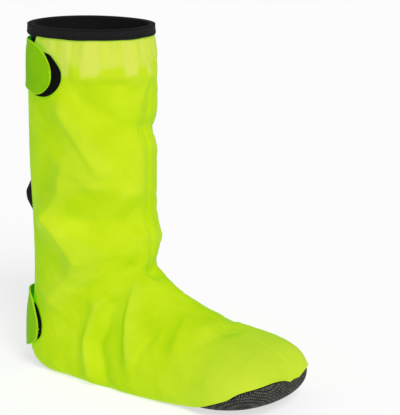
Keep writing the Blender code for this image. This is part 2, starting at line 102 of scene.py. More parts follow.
# the elastic tape folded over the rim
tape = {
    "wall": 0.0010, "band": 0.0105, "leg": 0.030, "gussetWall": 0.0012, "lap": 0.0007,
    "squeeze": 0.0012, "squeezeRows": (0.24, 0.62),
    "lapFrom": 30, "lapTo": 62, "lapFade": 2, "segments": 300, "bend": 0.0018, "steps": 7,
    "rib": 0.00012, "ribCount": 150, "uneven": 0.0003, "unevenUp": 0.002,
    "unevenWaves": ((7, 1.0, 0.6), (13, 2.2, 0.4)),
    "stitchUp": 0.0022, "stitchOut": 0.0001, "seamPoints": 400,
    # its section: the cut edge, the steps up the band, the flat on top and the inner leg
    "edge": (0.6, 0.0002, 0.0006), "bandStep": 0.0014, "crown": (0.0008, 0.0003),
    "legSteps": 13, "legShort": 0.0030,
}
table = skinTable()


def curveThrough(values, place):
    # one smooth curve through the rows of values, read at row numbers place
    place = np.asarray(place, float)
    last = len(values) - 1
    i = np.clip(np.floor(place).astype(int), 0, last - 1)
    t = (place - i)[..., None]
    p1 = values[i]
    p2 = values[i + 1]
    p0 = np.where((i > 0)[..., None], values[np.maximum(i - 1, 0)], 2 * p1 - p2)
    p3 = np.where((i < last - 1)[..., None], values[np.minimum(i + 2, last)], 2 * p2 - p1)
    return 0.5 * (2 * p1 + (p2 - p0) * t + (2 * p0 - 5 * p1 + 4 * p2 - p3) * t ** 2
                  + (3 * p1 - p0 - 3 * p2 + p3) * t ** 3)


def rise(v, rows):
    return np.clip((np.asarray(v, float) - rows[0]) / (rows[1] - rows[0]), 0, 1)


def smooth(share):
    share = np.clip(share, 0, 1)
    return share * share * (3 - 2 * share)


nearFront = 179.0  # a cut stops just short of the front seam


def cutsAt(v):
    # the angles at which the outer and the inner half end
    row = curveThrough(table, v)
    return np.minimum(row[..., 8], nearFront), np.minimum(row[..., 9], nearFront)


# where the skin's own origin lies in the shared frame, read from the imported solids
tapeLow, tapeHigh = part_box("top_tape")
rimMiddle = (shaftRows[0][0] + shaftRows[0][1]) / 2 * cover["shaftDepth"]
place = np.array([(tapeLow.x + tapeHigh.x) / 2 - rimMiddle,
                  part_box("lateral_panel")[1].y + cover["gap"] / 2, 0.0])


def barePoint(v, angle):
    # the smooth skin: angle 0 is at the back or under the foot, 180 at the front or on top
    row = curveThrough(table, v)
    angle = np.asarray(angle, float) * degree
    frontX, frontZ, backX, backZ, half, low, top, middle = (row[..., k] for k in range(8))
    sine = np.abs(np.sin(angle))
    cosine = np.abs(np.cos(angle))
    behind = np.cos(angle) > 0
    power = 2 / np.where(behind, low, top)
    share = np.where(behind, middle * (1 - cosine ** power),
                     middle + (1 - middle) * cosine ** power)
    y = -np.sign(np.sin(angle)) * half * sine ** power
    return np.stack([backX + (frontX - backX) * share, y,
                     backZ + (frontZ - backZ) * share], -1)


def unit(vectors):
    return vectors / np.maximum(np.linalg.norm(vectors, axis=-1, keepdims=True), 1e-12)


def skinNormal(v, angle):
    rowStep, turnStep = 0.01, 0.5
    along = barePoint(v + rowStep, angle) - barePoint(v - rowStep, angle)
    around = barePoint(v, angle + turnStep) - barePoint(v, angle - turnStep)
    return unit(np.cross(along, around))


# folds run through three places, given by rows and angles; then come the width to the right
# and to the left of the path as seen from outside, and the depth, as shares
folds = {
    "width": 0.010, "depth": 0.0076, "crestRound": 0.20,
    "footRound": 0.35, "footRows": (10.5, 12.0),  # how much rounder the crests are on the foot
    "drift": 0.0022, "driftSize": 0.028, "driftSeeds": (21.3, 34.8, 47.1),
    # on the same paths as in the CAD, but deeper
    "main": (
        ((1.00, 1.02, 1.06), (110, 142, 182), 0.9, 2.4, 0.45),
        ((1.50, 1.78, 2.10), (110, 134, 160), 1.4, 1.5, -0.6),
        ((1.74, 2.15, 2.85), (94, 106, 124), 1.4, 2.0, 1.0),
        ((0.95, 1.65, 3.30), (176, 165, 168), 2.0, 1.1, 0.7),
        ((2.10, 2.15, 2.25), (174, 195, 218), 1.1, 1.1, -0.8),
        ((2.80, 3.40, 3.98), (98, 91, 78), 1.6, 2.3, 1.2),
        ((4.06, 4.60, 5.16), (80, 93, 107), 1.6, 1.6, 1.1),
        ((5.20, 5.70, 6.50), (107, 103, 85), 1.6, 2.0, 1.1),
        ((4.00, 4.06, 4.12), (96, 122, 154), 1.9, 2.0, -0.9),
        ((4.92, 5.00, 5.10), (112, 128, 148), 1.0, 2.2, 0.4),
        ((3.16, 3.22, 3.30), (116, 132, 150), 1.6, 1.2, 0.3),
        ((4.60, 4.80, 4.90), (162, 182, 205), 1.5, 1.5, 0.7),
        ((6.40, 6.80, 7.10), (154, 168, 188), 1.0, 1.0, -0.9),
        ((7.57, 7.34, 6.50), (125, 136, 162), 1.2, 1.0, 0.5),
        ((7.70, 9.19, 10.50), (120, 105, 82), 0.9, 0.9, 0.8),
        ((8.06, 9.69, 11.10), (129, 108, 77), 0.9, 0.9, -0.6),
        ((7.90, 9.51, 11.24), (148, 131, 105), 0.8, 1.8, 0.8),
        ((11.40, 11.58, 11.80), (123, 111, 99), 0.7, 0.7, -0.3),
        ((12.00, 12.31, 12.60), (158, 144, 128), 0.7, 0.9, 0.3),
        ((12.90, 13.20, 13.30), (150, 168, 186), 0.9, 0.9, 0.25),
        ((13.36, 13.73, 13.88), (144, 166, 186), 0.8, 0.8, -0.4),
        ((1.50, 2.30, 3.10), (-72, -95, -120), 1.4, 1.8, 0.9),
        ((3.20, 3.90, 4.60), (-66, -84, -105), 1.4, 1.4, -0.7),
        ((4.80, 5.60, 6.30), (-72, -98, -120), 1.6, 1.4, 1.0),
        ((6.40, 6.80, 7.20), (-150, -166, -182), 1.0, 1.0, -0.8),
        ((7.40, 9.00, 10.40), (-118, -104, -85), 0.9, 1.4, 0.7),
        ((9.20, 10.40, 11.40), (-140, -122, -104), 1.0, 1.0, -0.5),
        ((13.20, 13.50, 13.80), (-150, -168, -184), 0.8, 0.8, -0.4),
    ),
    # finer creases that only the dressed cover shows
    "fine": (
        ((0.98, 0.99, 1.04), (100, 140, 184), 0.45, 1.8, 0.22),
        ((1.45, 1.85, 2.80), (91, 98, 124), 0.35, 1.3, 0.22),
        ((1.60, 1.72, 1.86), (104, 122, 148), 0.4, 0.5, 0.10),
        ((2.72, 2.88, 3.17), (84, 106, 119), 0.35, 0.6, 0.16),
        ((2.86, 3.40, 3.94), (95, 92, 79), 0.5, 0.9, 0.18),
        ((3.94, 4.49, 5.04), (79, 89, 106), 0.4, 0.9, 0.22),
        ((5.04, 5.87, 6.54), (106, 101, 85), 0.5, 1.0, 0.16),
        ((6.54, 6.90, 7.27), (85, 81, 78), 0.6, 0.8, 0.14),
        ((3.30, 3.70, 4.05), (150, 142, 128), 0.6, 0.9, 0.12),
        ((5.60, 5.90, 6.10), (150, 132, 116), 0.8, 0.6, 0.14),
        ((6.20, 6.50, 6.72), (176, 160, 150), 0.35, 0.5, 0.16),
        ((6.72, 7.00, 7.30), (150, 160, 176), 0.4, 0.4, -0.16),
        ((7.10, 7.25, 7.40), (150, 162, 176), 0.3, 0.4, 0.14),
        ((7.60, 8.26, 9.60), (125, 113, 99), 0.35, 0.5, 0.16),
        ((7.60, 8.60, 9.90), (151, 140, 127), 0.25, 0.9, 0.20),
        ((9.90, 10.60, 11.24), (127, 115, 105), 0.3, 0.8, 0.14),
        ((8.41, 9.46, 11.16), (138, 128, 101), 0.35, 0.35, -0.14),
        ((11.71, 11.77, 11.81), (134, 127, 120), 0.3, 0.4, 0.14),
        ((11.30, 11.40, 11.52), (124, 114, 104), 0.3, 0.3, 0.12),
        ((12.08, 12.31, 12.56), (157, 144, 129), 0.3, 0.6, 0.12),
        ((12.50, 12.90, 13.30), (118, 110, 102), 0.6, 0.8, -0.10),
        ((13.36, 13.66, 13.85), (143, 160, 183), 0.22, 0.28, 0.12),
        ((9.20, 9.80, 10.60), (66, 60, 56), 0.7, 0.7, 0.12),
        ((1.60, 1.95, 2.30), (-80, -96, -112), 0.4, 0.7, 0.20),
        ((2.80, 3.15, 3.50), (-60, -74, -88), 0.5, 0.4, -0.18),
        ((4.20, 4.55, 4.90), (-66, -80, -94), 0.5, 0.7, 0.20),
        ((5.60, 5.90, 6.20), (-70, -84, -98), 0.4, 0.6, -0.18),
        ((6.60, 7.20, 7.80), (-86, -95, -104), 0.4, 0.7, 0.20),
        ((8.70, 9.40, 10.2), (-60, -65, -70), 0.5, 0.5, -0.18),
        ((10.1, 11.0, 11.8), (-118, -108, -98), 0.4, 0.7, 0.18),
        ((13.5, 13.8, 14.0), (-150, -163, -176), 0.3, 0.3, 0.16),
    ),
}


def foldLines(rows):
    lines = []
    for places, angles, right, left, depth in rows:
        lines.append((barePoint(places, angles), right * folds["width"],
                      left * folds["width"], depth * folds["depth"]))
    return lines


foldPaths = {"main": foldLines(folds["main"]), "fine": foldLines(folds["fine"])}


def foldHeight(points, v, angle, kind="main"):
    # a fold is a ridge along its path, with a blunt crest and its own reach to either side;
    # the paths drift a little, and the folds calm down at the rim and the toe
    height = np.zeros(points.shape[:-1])
    normal = skinNormal(v, angle)
    drift = [noiseField(points, folds["driftSize"], seed) for seed in folds["driftSeeds"]]
    bent = points + folds["drift"] * np.stack(drift, -1)
    blunt = folds["crestRound"] + folds["footRound"] * rise(v, folds["footRows"])
    for line, right, left, depth in foldPaths[kind]:
        nearest = np.full(points.shape[:-1], np.inf)
        aside = np.zeros(points.shape[:-1])
        for start, end in zip(line[:-1], line[1:]):
            run = end - start
            share = np.clip(((bent - start) @ run) / (run @ run), 0, 1)
            away = bent - start - share[..., None] * run
            distance = np.linalg.norm(away, axis=-1)
            across = np.cross(run / np.linalg.norm(run), normal)
            closer = distance < nearest
            aside = np.where(closer, (across * away).sum(-1), aside)
            nearest = np.where(closer, distance, nearest)
        lean = np.clip(aside / np.maximum(nearest, 1e-9), -1, 1)
        reach = nearest / (left + (right - left) * (1 + lean) / 2)
        turned = np.sqrt(reach ** 2 + blunt ** 2) - blunt
        height += depth * (1 - np.minimum(turned / 2, 1)) ** 2
    return height * rise(v, cover["rimCalm"]) * (1 - rise(v, cover["toeCalm"]))


# small upright puckers that hang from the elastic rim and fade out below it; a wave is its
# share, its count round the rim, and the size and count of its sway
puckers = {
    "height": 0.0010, "start": 0.006, "reach": 0.020, "lastRow": 3.0,
    "waves": ((1.0, 26, 1.8, 5), (0.5, 41, 1.3, 7)),
}


def gathers(points, v, angle):
    below = cover["height"] - tape["band"] - points[..., 2]
    reach = np.exp(-(below / puckers["reach"]) ** 2) * smooth(below / puckers["start"])
    turn = angle * degree
    wave = sum(share * np.sin(turn * count + sway * np.sin(turn * swayCount))
               for share, count, sway, swayCount in puckers["waves"])
    return puckers["height"] * reach * (v < puckers["lastRow"]) * wave


def rimSqueeze(v):
    return -tape["squeeze"] * (1 - smooth(rise(v, tape["squeezeRows"])))


def skinPoint(v, angle, out=0.0, useFolds=True):
    bare = barePoint(v, angle)
    height = rimSqueeze(v) + (foldHeight(bare, v, angle) if useFolds else 0.0)
    point = bare + skinNormal(v, angle) * np.asarray(height + out)[..., None]
    point[..., 2] = np.maximum(point[..., 2] - cover["press"] * rise(v, cover["pressRows"]), 0.0)
    return point


def noiseField(points, size, seed):
    # smooth noise from -1 to 1 with features of the given size in metres
    values = [noise.noise(Vector(p)) for p in points.reshape(-1, 3) / size + seed]
    return np.array(values).reshape(points.shape[:-1])


def runLength(points):
    # how far along a path each of its points lies
    return np.concatenate([[0.0], np.cumsum(np.linalg.norm(np.diff(points, axis=0), axis=1))])


def acrossRow(values, count):
    # one value a row, the same in each of its columns
    return np.repeat(values[:, None], count, axis=1)


def evenRows(first, last, count):
    # rows spaced evenly over the skin, as its front, back, side and cut run
    samples = 900
    fine = np.linspace(first, last, samples)
    cut = cutsAt(fine)[0]
    edges = (np.full(samples, 180.0), np.zeros(samples), np.full(samples, 90.0), cut, cut)
    step = sum(np.linalg.norm(np.diff(barePoint(fine, edge), axis=0), axis=1) for edge in edges)
    length = np.concatenate([[0.0], np.cumsum(step)])
    return np.interp(np.linspace(0, length[-1], count), length, fine)


def spacedAngles(rows, first, last, share):
    # angles from first to last along each row at the given shares of the row's length
    samples = 241
    fine = first[:, None] + (last - first)[:, None] * np.linspace(0, 1, samples)
    length = np.array([runLength(line) for line in barePoint(acrossRow(rows, samples), fine)])
    share = np.broadcast_to(share, (len(rows), share.shape[-1]))
    angles = np.array([np.interp(s * run[-1], run, a) for s, run, a in zip(share, length, fine)])
    return angles, length[:, -1]


def edgeShares(length, count, steps):
    # even columns, with a few close ones at both edges for a rounded cloth edge
    fullLength = 0.03  # a shorter row has its close columns nearer together
    even = np.linspace(0, 1, count)
    near = np.minimum(1.0, length / fullLength)[:, None] * np.array(steps) / length[:, None]
    middle = near[:, -1:] + (1 - 2 * near[:, -1:]) * even[None, 1:-1]
    ends = np.zeros((len(length), 1))
    return np.concatenate([ends, near, middle, 1 - near[:, ::-1], ends + 1], axis=1)


def roundedHalf(distance, wall):
    # half the wall's thickness, which closes in a round at the cloth's edge
    leastShare = 0.12  # so that the wall never closes to nothing
    share = 1 - np.clip(distance / (wall / 2), 0, 1)
    return wall / 2 * np.maximum(np.sqrt(np.maximum(1 - share ** 2, 0)), leastShare)


def degreesFor(length, v, angle):
    # the angle that a length takes up along the row there
    run = np.linalg.norm(barePoint(v, angle + 0.5) - barePoint(v, angle - 0.5), axis=-1)
    return length / run


def degreesAtCut(length, v, cut):
    # the same at a cut, read no nearer the middle of the back than this
    leastAngle = 20.0
    return degreesFor(length, v, np.maximum(cut, leastAngle))


def newMesh(name, points, edges, faces):
    mesh = bpy.data.meshes.new(name)
    mesh.from_pydata([tuple(p) for p in points], edges, faces)
    return mesh


def addObject(name, data):
    piece = bpy.data.objects.new(name, data)
    bpy.context.scene.collection.objects.link(piece)
    return piece


def pointOutwards(mesh):
    body = bmesh.new()
    body.from_mesh(mesh)
    bmesh.ops.recalc_face_normals(body, faces=body.faces)
    body.to_mesh(mesh)
    body.free()


def addShell(name, outer, inner, materials, uv, closedFrom=None, tint=None):
    # a closed wall between two grids; materials are those of its outside and its inside;
    # from row closedFrom on, the grids close round and end in a point
    rows, columns = outer.shape[:2]
    index = np.arange(2 * rows * columns).reshape(2, rows, columns)
    points = np.concatenate([outer.reshape(-1, 3), inner.reshape(-1, 3)]) + place
    if closedFrom is not None:
        index[:, closedFrom:, -1] = index[:, closedFrom:, 0]
        index[:, -1, :] = index[:, -1, :1]
    faces = []
    kinds = []

    def addFace(corners, kind):
        kept = list(dict.fromkeys(int(c) for c in corners))
        if len(kept) > 2:
            faces.append(kept)
            kinds.append(kind)

    for i in range(rows - 1):
        for j in range(columns - 1):
            for kind, layer in enumerate(index):
                addFace((layer[i, j], layer[i + 1, j], layer[i + 1, j + 1], layer[i, j + 1]), kind)
        if closedFrom is None or i < closedFrom:
            for j in (0, columns - 1):
                addFace((index[0, i, j], index[0, i + 1, j], index[1, i + 1, j],
                         index[1, i, j]), 0)
    for j in range(columns - 1):
        for i in (0, rows - 1) if closedFrom is None else (0,):
            addFace((index[0, i, j], index[0, i, j + 1], index[1, i, j + 1], index[1, i, j]), 0)
    used = np.zeros(len(points), bool)
    for face in faces:
        used[face] = True
    renumber = np.cumsum(used) - 1
    faces = [[int(renumber[c]) for c in face] for face in faces]
    mesh = newMesh(name, points[used], [], faces)
    mesh.polygons.foreach_set("material_index", kinds)
    for material in materials:
        mesh.materials.append(material)
    both = np.concatenate([uv.reshape(-1, 2), uv.reshape(-1, 2)])[used]
    corner = np.zeros(len(mesh.loops), int)
    mesh.loops.foreach_get("vertex_index", corner)
    layer = mesh.uv_layers.new(name="clothMetres")
    layer.data.foreach_set("uv", both[corner].ravel())
    if tint is not None:
        both = np.concatenate([tint.ravel(), tint.ravel()])[used]
        attribute = mesh.attributes.new("tint", "FLOAT", "POINT")
        attribute.data.foreach_set("value", both.astype(float))
    pointOutwards(mesh)
    mesh.shade_smooth()
    mesh.set_sharp_from_angle(angle=50 * degree)
    return addObject(name, mesh)


# materials

def hexColour(code):
    values = [int(code[k:k + 2], 16) / 255 for k in (0, 2, 4)]
    linear = [c / 12.92 if c <= 0.04045 else ((c + 0.055) / 1.055) ** 2.4 for c in values]
    return (*linear, 1.0)


def addNode(tree, kind, settings=None, links=None):
    # adds a node; settings name its properties or inputs, links give an input its source
    node = tree.nodes.new(kind)
    for key, value in (settings or {}).items():
        if isinstance(key, str) and hasattr(node, key):
            setattr(node, key, value)
        else:
            node.inputs[key].default_value = value
    for key, socket in (links or {}).items():
        tree.links.new(socket, node.inputs[key])
    return node


def newMaterial(name, settings):
    material = bpy.data.materials.new(name)
    material.use_nodes = True
    tree = material.node_tree
    shader = tree.nodes["Principled BSDF"]
    for key, value in settings.items():
        shader.inputs[key].default_value = value
    material.diffuse_color = shader.inputs["Base Color"].default_value
    return material, tree, shader


def weaveHeight(tree, across, along, source):
    # two crossed bands, as warp and weft; wave bands repeat every 0.314 / scale metres
    bands = []
    for direction, pitch in (("X", across), ("Y", along)):
        wave = addNode(tree, "ShaderNodeTexWave", {"bands_direction": direction,
                       "Scale": 0.314 / pitch, "Distortion": 0.0}, {"Vector": source})
        bands.append(wave.outputs["Fac"])
    return addNode(tree, "ShaderNodeMath", {"operation": "MULTIPLY"},
                   {0: bands[0], 1: bands[1]}).outputs["Value"]


def variedColour(tree, source, size, codes, detail=3.0):
    # colour that drifts between the given hex codes over patches of the given size
    field = addNode(tree, "ShaderNodeTexNoise", {"Scale": 1 / size, "Detail": detail,
                    "Roughness": 0.55}, {"Vector": source})
    ramp = addNode(tree, "ShaderNodeValToRGB", {}, {"Fac": field.outputs["Fac"]})
    stops = ramp.color_ramp.elements
    while len(stops) < len(codes):
        stops.new(0.5)
    lowest, spread = 0.30, 0.40  # where most of the noise lies
    for k, code in enumerate(codes):
        stops[k].position = lowest + spread * k / (len(codes) - 1)
        stops[k].color = hexColour(code)
    return ramp.outputs["Color"]


def bumpChain(tree, layers):
    # layers are (height socket, distance in metres, strength), coarse first
    normal = None
    for height, distance, strength in layers:
        links = {"Height": height}
        if normal is not None:
            links["Normal"] = normal
        normal = addNode(tree, "ShaderNodeBump", {"Distance": distance, "Strength": strength},
                         links).outputs["Normal"]
    return normal


# sizes in metres; the strengths are those of the bumps
coating = {
    "drift": 0.045, "crease": 0.020, "creaseDepth": 0.0006, "grain": 0.0022,
    "grainDepth": 0.0002, "grainStrength": 0.14, "weave": 0.0007, "weaveDepth": 0.0001,
    "weaveStrength": 0.25, "glossier": 0.07, "duller": 0.10,
}


def coatedCloth(name, codes, glowCode, glow, roughness, crinkle, paleCode="c9ec2c"):
    # polyurethane-coated polyester, dyed with a fluorescent dye: saturated, faintly glossy,
    # with a plain weave of 0.35 mm threads, drawn at 0.7 mm so that it shows at all; the
    # glow is painted light, a constant green emission that keeps the cloth bright green even in
    # shade, and the tint attribute turns it to the pale code, painted light on the yellow halves
    # and a partly painted highlight on the tabs' edges
    material, tree, shader = newMaterial(name, {
        "Base Color": hexColour(codes[1]), "Roughness": roughness, "IOR": 1.48,
        "Specular IOR Level": 0.02,
        "Emission Color": hexColour(glowCode), "Emission Strength": glow})
    coordinates = addNode(tree, "ShaderNodeTexCoord")
    body = coordinates.outputs["Object"]
    colour = variedColour(tree, body, coating["drift"], codes)
    # painted light: the tint attribute mixes the base colour towards the pale code
    rim = addNode(tree, "ShaderNodeAttribute", {"attribute_name": "tint"})
    edge = addNode(tree, "ShaderNodeMix", {"data_type": "RGBA", 7: hexColour(paleCode)},
                   {0: rim.outputs["Fac"], 6: colour})
    tree.links.new(edge.outputs[2], shader.inputs["Base Color"])
    weave = weaveHeight(tree, coating["weave"], coating["weave"], coordinates.outputs["UV"])
    crease = addNode(tree, "ShaderNodeTexNoise", {"noise_type": "RIDGED_MULTIFRACTAL",
                     "Scale": 1 / coating["crease"], "Detail": 3.0, "Roughness": 0.5,
                     "Distortion": 0.4}, {"Vector": body})
    grain = addNode(tree, "ShaderNodeTexNoise", {"Scale": 1 / coating["grain"], "Detail": 2.0},
                    {"Vector": body})
    normal = bumpChain(tree, (
        (crease.outputs["Fac"], coating["creaseDepth"], crinkle),
        (grain.outputs["Fac"], coating["grainDepth"], coating["grainStrength"]),
        (weave, coating["weaveDepth"], coating["weaveStrength"])))
    tree.links.new(normal, shader.inputs["Normal"])
    gloss = addNode(tree, "ShaderNodeMapRange", {"To Min": roughness - coating["glossier"],
                    "To Max": roughness + coating["duller"]}, {"Value": grain.outputs["Fac"]})
    tree.links.new(gloss.outputs["Result"], shader.inputs["Roughness"])
    return material


def darkCloth(name, codes, roughness, sheen, size, pitch, depth):
    # black polyester: dull, with a weave or pile of the given size and pitch in metres
    material, tree, shader = newMaterial(name, {
        "Base Color": hexColour(codes[0]), "Roughness": roughness, "Specular IOR Level": 0.15,
        "Sheen Weight": sheen, "Sheen Roughness": 0.6, "Sheen Tint": hexColour("8a8a90")})
    coordinates = addNode(tree, "ShaderNodeTexCoord")
    body = coordinates.outputs["Object"]
    tree.links.new(variedColour(tree, body, size, codes), shader.inputs["Base Color"])
    fuzz = addNode(tree, "ShaderNodeTexNoise", {"Scale": 1 / size, "Detail": 4.0,
                   "Roughness": 0.7}, {"Vector": body})
    strength = 0.6
    layers = [(fuzz.outputs["Fac"], depth, strength)]
    if pitch:
        layers.append((weaveHeight(tree, *pitch, coordinates.outputs["UV"]), depth, strength))
    tree.links.new(bumpChain(tree, layers), shader.inputs["Normal"])
    return material


# the glow strengths here are painted light, a constant green emission; the pale code is the colour
# of painted light on the yellow halves and of the partly painted highlight on the tabs' edges
yellowCloth = coatedCloth("coatedPolyesterYellow", ("b4a410", "bcab16", "c4b320"), "20ff00",
                          0.335, 0.50, 0.16, "d2ae5a")
tabCloth = coatedCloth("coatedPolyesterTab", ("80a408", "8aac0a", "94b40e"), "20ff00",
                       0.15, 0.52, 0.12, "a8be14")
# the uncoated back of the cloth inside: duller and paler
liningCloth = coatedCloth("polyesterClothBack", ("8fa83c", "9db548", "a8bf55"), "6fdc00",
                          0.0, 0.75, 0.20)
elasticKnit = darkCloth("knittedElasticTape", ("101011", "161617", "1c1c1d"), 0.85, 0.04,
                        0.0018, (0.0016, 0.0022), 0.0003)
gussetWeave = darkCloth("wovenGussetCloth", ("0c0c0d", "131314", "1a1a1b"), 0.80, 0.04,
                        0.004, (0.0009, 0.0009), 0.0002)
loopPile = darkCloth("nappedLoopPile", ("010101", "040504", "0a0b09"), 1.0, 0.0,
                     0.0009, None, 0.0006)
blackThread = newMaterial("spunPolyesterThreadBlack", {
    "Base Color": hexColour("161618"), "Roughness": 0.8, "Specular IOR Level": 0.1})[0]
# painted light: the yellow thread glows with a constant green emission, like the cloth
yellowThread = newMaterial("spunPolyesterThreadYellow", {
    "Base Color": hexColour("b8b820"), "Roughness": 0.6, "Specular IOR Level": 0.1,
    "Emission Color": hexColour("20ff00"), "Emission Strength": 0.25})[0]


# the dots' size and how far they stray from even rows, their turn in degrees, and where a
# dot's side begins and its top ends, as distances from its middle
grip = {
    "pitch": 0.0022, "stray": 0.12, "turn": (35, 24, 40), "side": 0.62, "top": 0.28,
    "depth": 0.0005, "strength": 0.8, "greyPatches": 0.008,
    "shades": ((0.05, "151513"), (0.50, "5c5c54")),
}


def gripRubber():
    # rubberised fabric covered in rows of small raised dots, 2.2 mm apart and paler grey on top,
    # in patches
    material, tree, shader = newMaterial("rubberisedGripFabric", {
        "Base Color": hexColour("2b2b28"), "Roughness": 0.82, "Specular IOR Level": 0.25})
    body = addNode(tree, "ShaderNodeTexCoord").outputs["Object"]
    turned = addNode(tree, "ShaderNodeMapping",
                     {"Rotation": [angle * degree for angle in grip["turn"]]}, {"Vector": body})
    dots = addNode(tree, "ShaderNodeTexVoronoi", {"Scale": 1 / grip["pitch"],
                   "Randomness": grip["stray"]}, {"Vector": turned.outputs["Vector"]})
    greyPatches = addNode(tree, "ShaderNodeTexNoise", {"Scale": 1 / grip["greyPatches"], "Detail": 3.0},
                   {"Vector": body})
    top = addNode(tree, "ShaderNodeMapRange", {"From Min": grip["side"],
                  "From Max": grip["top"]}, {"Value": dots.outputs["Distance"]})
    shade = addNode(tree, "ShaderNodeMath", {"operation": "MULTIPLY"},
                    {0: top.outputs["Result"], 1: greyPatches.outputs["Fac"]})
    ramp = addNode(tree, "ShaderNodeValToRGB", {}, {"Fac": shade.outputs["Value"]})
    for stop, (position, code) in zip(ramp.color_ramp.elements, grip["shades"]):
        stop.position = position
        stop.color = hexColour(code)
    tree.links.new(ramp.outputs["Color"], shader.inputs["Base Color"])
    bump = bumpChain(tree, ((top.outputs["Result"], grip["depth"], grip["strength"]),))
    tree.links.new(bump, shader.inputs["Normal"])
    return material


gripSole = gripRubber()


# the tabs and the loop patches under them: angle, upper row and lower row along each strip
strips = {
    "upperTab": (
        (-42, 0.38, 1.34), (-20, 0.34, 1.32), (8, 0.31, 1.30), (36, 0.30, 1.32), (56, 0.31, 1.40),
        (66, 0.36, 1.45), (74, 0.44, 1.42), (80, 0.57, 1.34), (84.5, 0.75, 1.22),
        (86.5, 0.92, 1.07),
    ),
    "upperPatch": (
        (55, 0.52, 1.40), (66, 0.52, 1.48), (76, 0.52, 1.48), (83.5, 0.56, 1.43),
        (88, 0.66, 1.36), (91.5, 0.77, 1.26), (94, 0.87, 1.14), (95, 0.96, 1.04),
    ),
    "lowerTab": (
        (-48, 6.36, 7.64), (-24, 6.24, 7.74), (2, 6.10, 7.80), (28, 6.08, 7.80), (46, 6.28, 7.81),
        (56.5, 6.53, 7.83), (64.5, 6.87, 7.83), (70, 7.22, 7.78), (72.3, 7.44, 7.63),
    ),
    "lowerPatch": (
        (52, 6.54, 7.66), (60, 6.64, 7.72), (67, 6.84, 7.78), (73, 7.17, 7.76), (76, 7.44, 7.66),
    ),
    "patchWall": 0.0012, "lift": 0.0022, "liftMiddle": 22, "liftSpread": 26,
    "press": 0.0020, "pressSpread": 18, "patchFrom": 52, "dropSpread": 14,
    "along": 150, "across": 46, "endCrowd": 1.6, "edgeCrowd": (0.35, 0.65, 0.3),
    "edgeTurn": 0.0030, "edgeRise": 0.00028, "edgeStep": 0.0008,
    "ripple": 0.00025, "rippleSize": 0.014, "rippleSeed": 2.2, "rippleFrom": 0.006,
    "pale": 0.8, "paleFrom": 0.0004, "paleReach": 0.0010, "stitchIn": 0.0026,
    # how far the cloth lies calm round a strip, and the grid that this is read on
    "calm": 0.004, "calmFade": 0.012, "calmGrid": (24, 9),
}


def stripGrid(stations, count, across):
    # rows v and angles of a strip; its last station closes into a round end
    values = np.array(stations, float)
    share = 1 - (1 - np.linspace(0, 1, count)) ** strips["endCrowd"]
    angle, high, low = curveThrough(values, share * (len(values) - 1)).T
    # closer columns at both edges
    side = np.cos(math.pi * np.linspace(0, 1, across))
    least, more, power = strips["edgeCrowd"]
    wide = 0.5 - 0.5 * side * (least + more * np.abs(side) ** power)
    v = high[:, None] * (1 - wide) + low[:, None] * wide
    return v, acrossRow(angle, across)


def calmMask(points):
    # 1 where a tab or patch lies on the cloth, fading out round it
    nearest = np.full(points.shape[:-1], np.inf)
    for key in ("upperTab", "lowerTab", "upperPatch", "lowerPatch"):
        v, angle = stripGrid(strips[key], *strips["calmGrid"])
        for p in barePoint(v, angle).reshape(-1, 3):
            nearest = np.minimum(nearest, np.linalg.norm(points - p, axis=-1))
    return 1 - smooth((nearest - strips["calm"]) / strips["calmFade"])


# a cloth simulation of both yellow halves as one sheet, held at the rim, sole and gusset
drape = {
    "rows": 92, "half": 58, "frames": 26, "grow": 0.022, "cap": 0.0050, "share": 0.45,
    "mass": 0.12, "stiff": 14.0, "shear": 0.4, "bend": 0.35, "air": 2.0, "quality": 5,
    # how firmly it is held away from its edges, and where it is held in full
    "free": 0.42, "heldRows": (0.5, 17.6), "heldColumns": 2, "heldUp": 0.004,
}


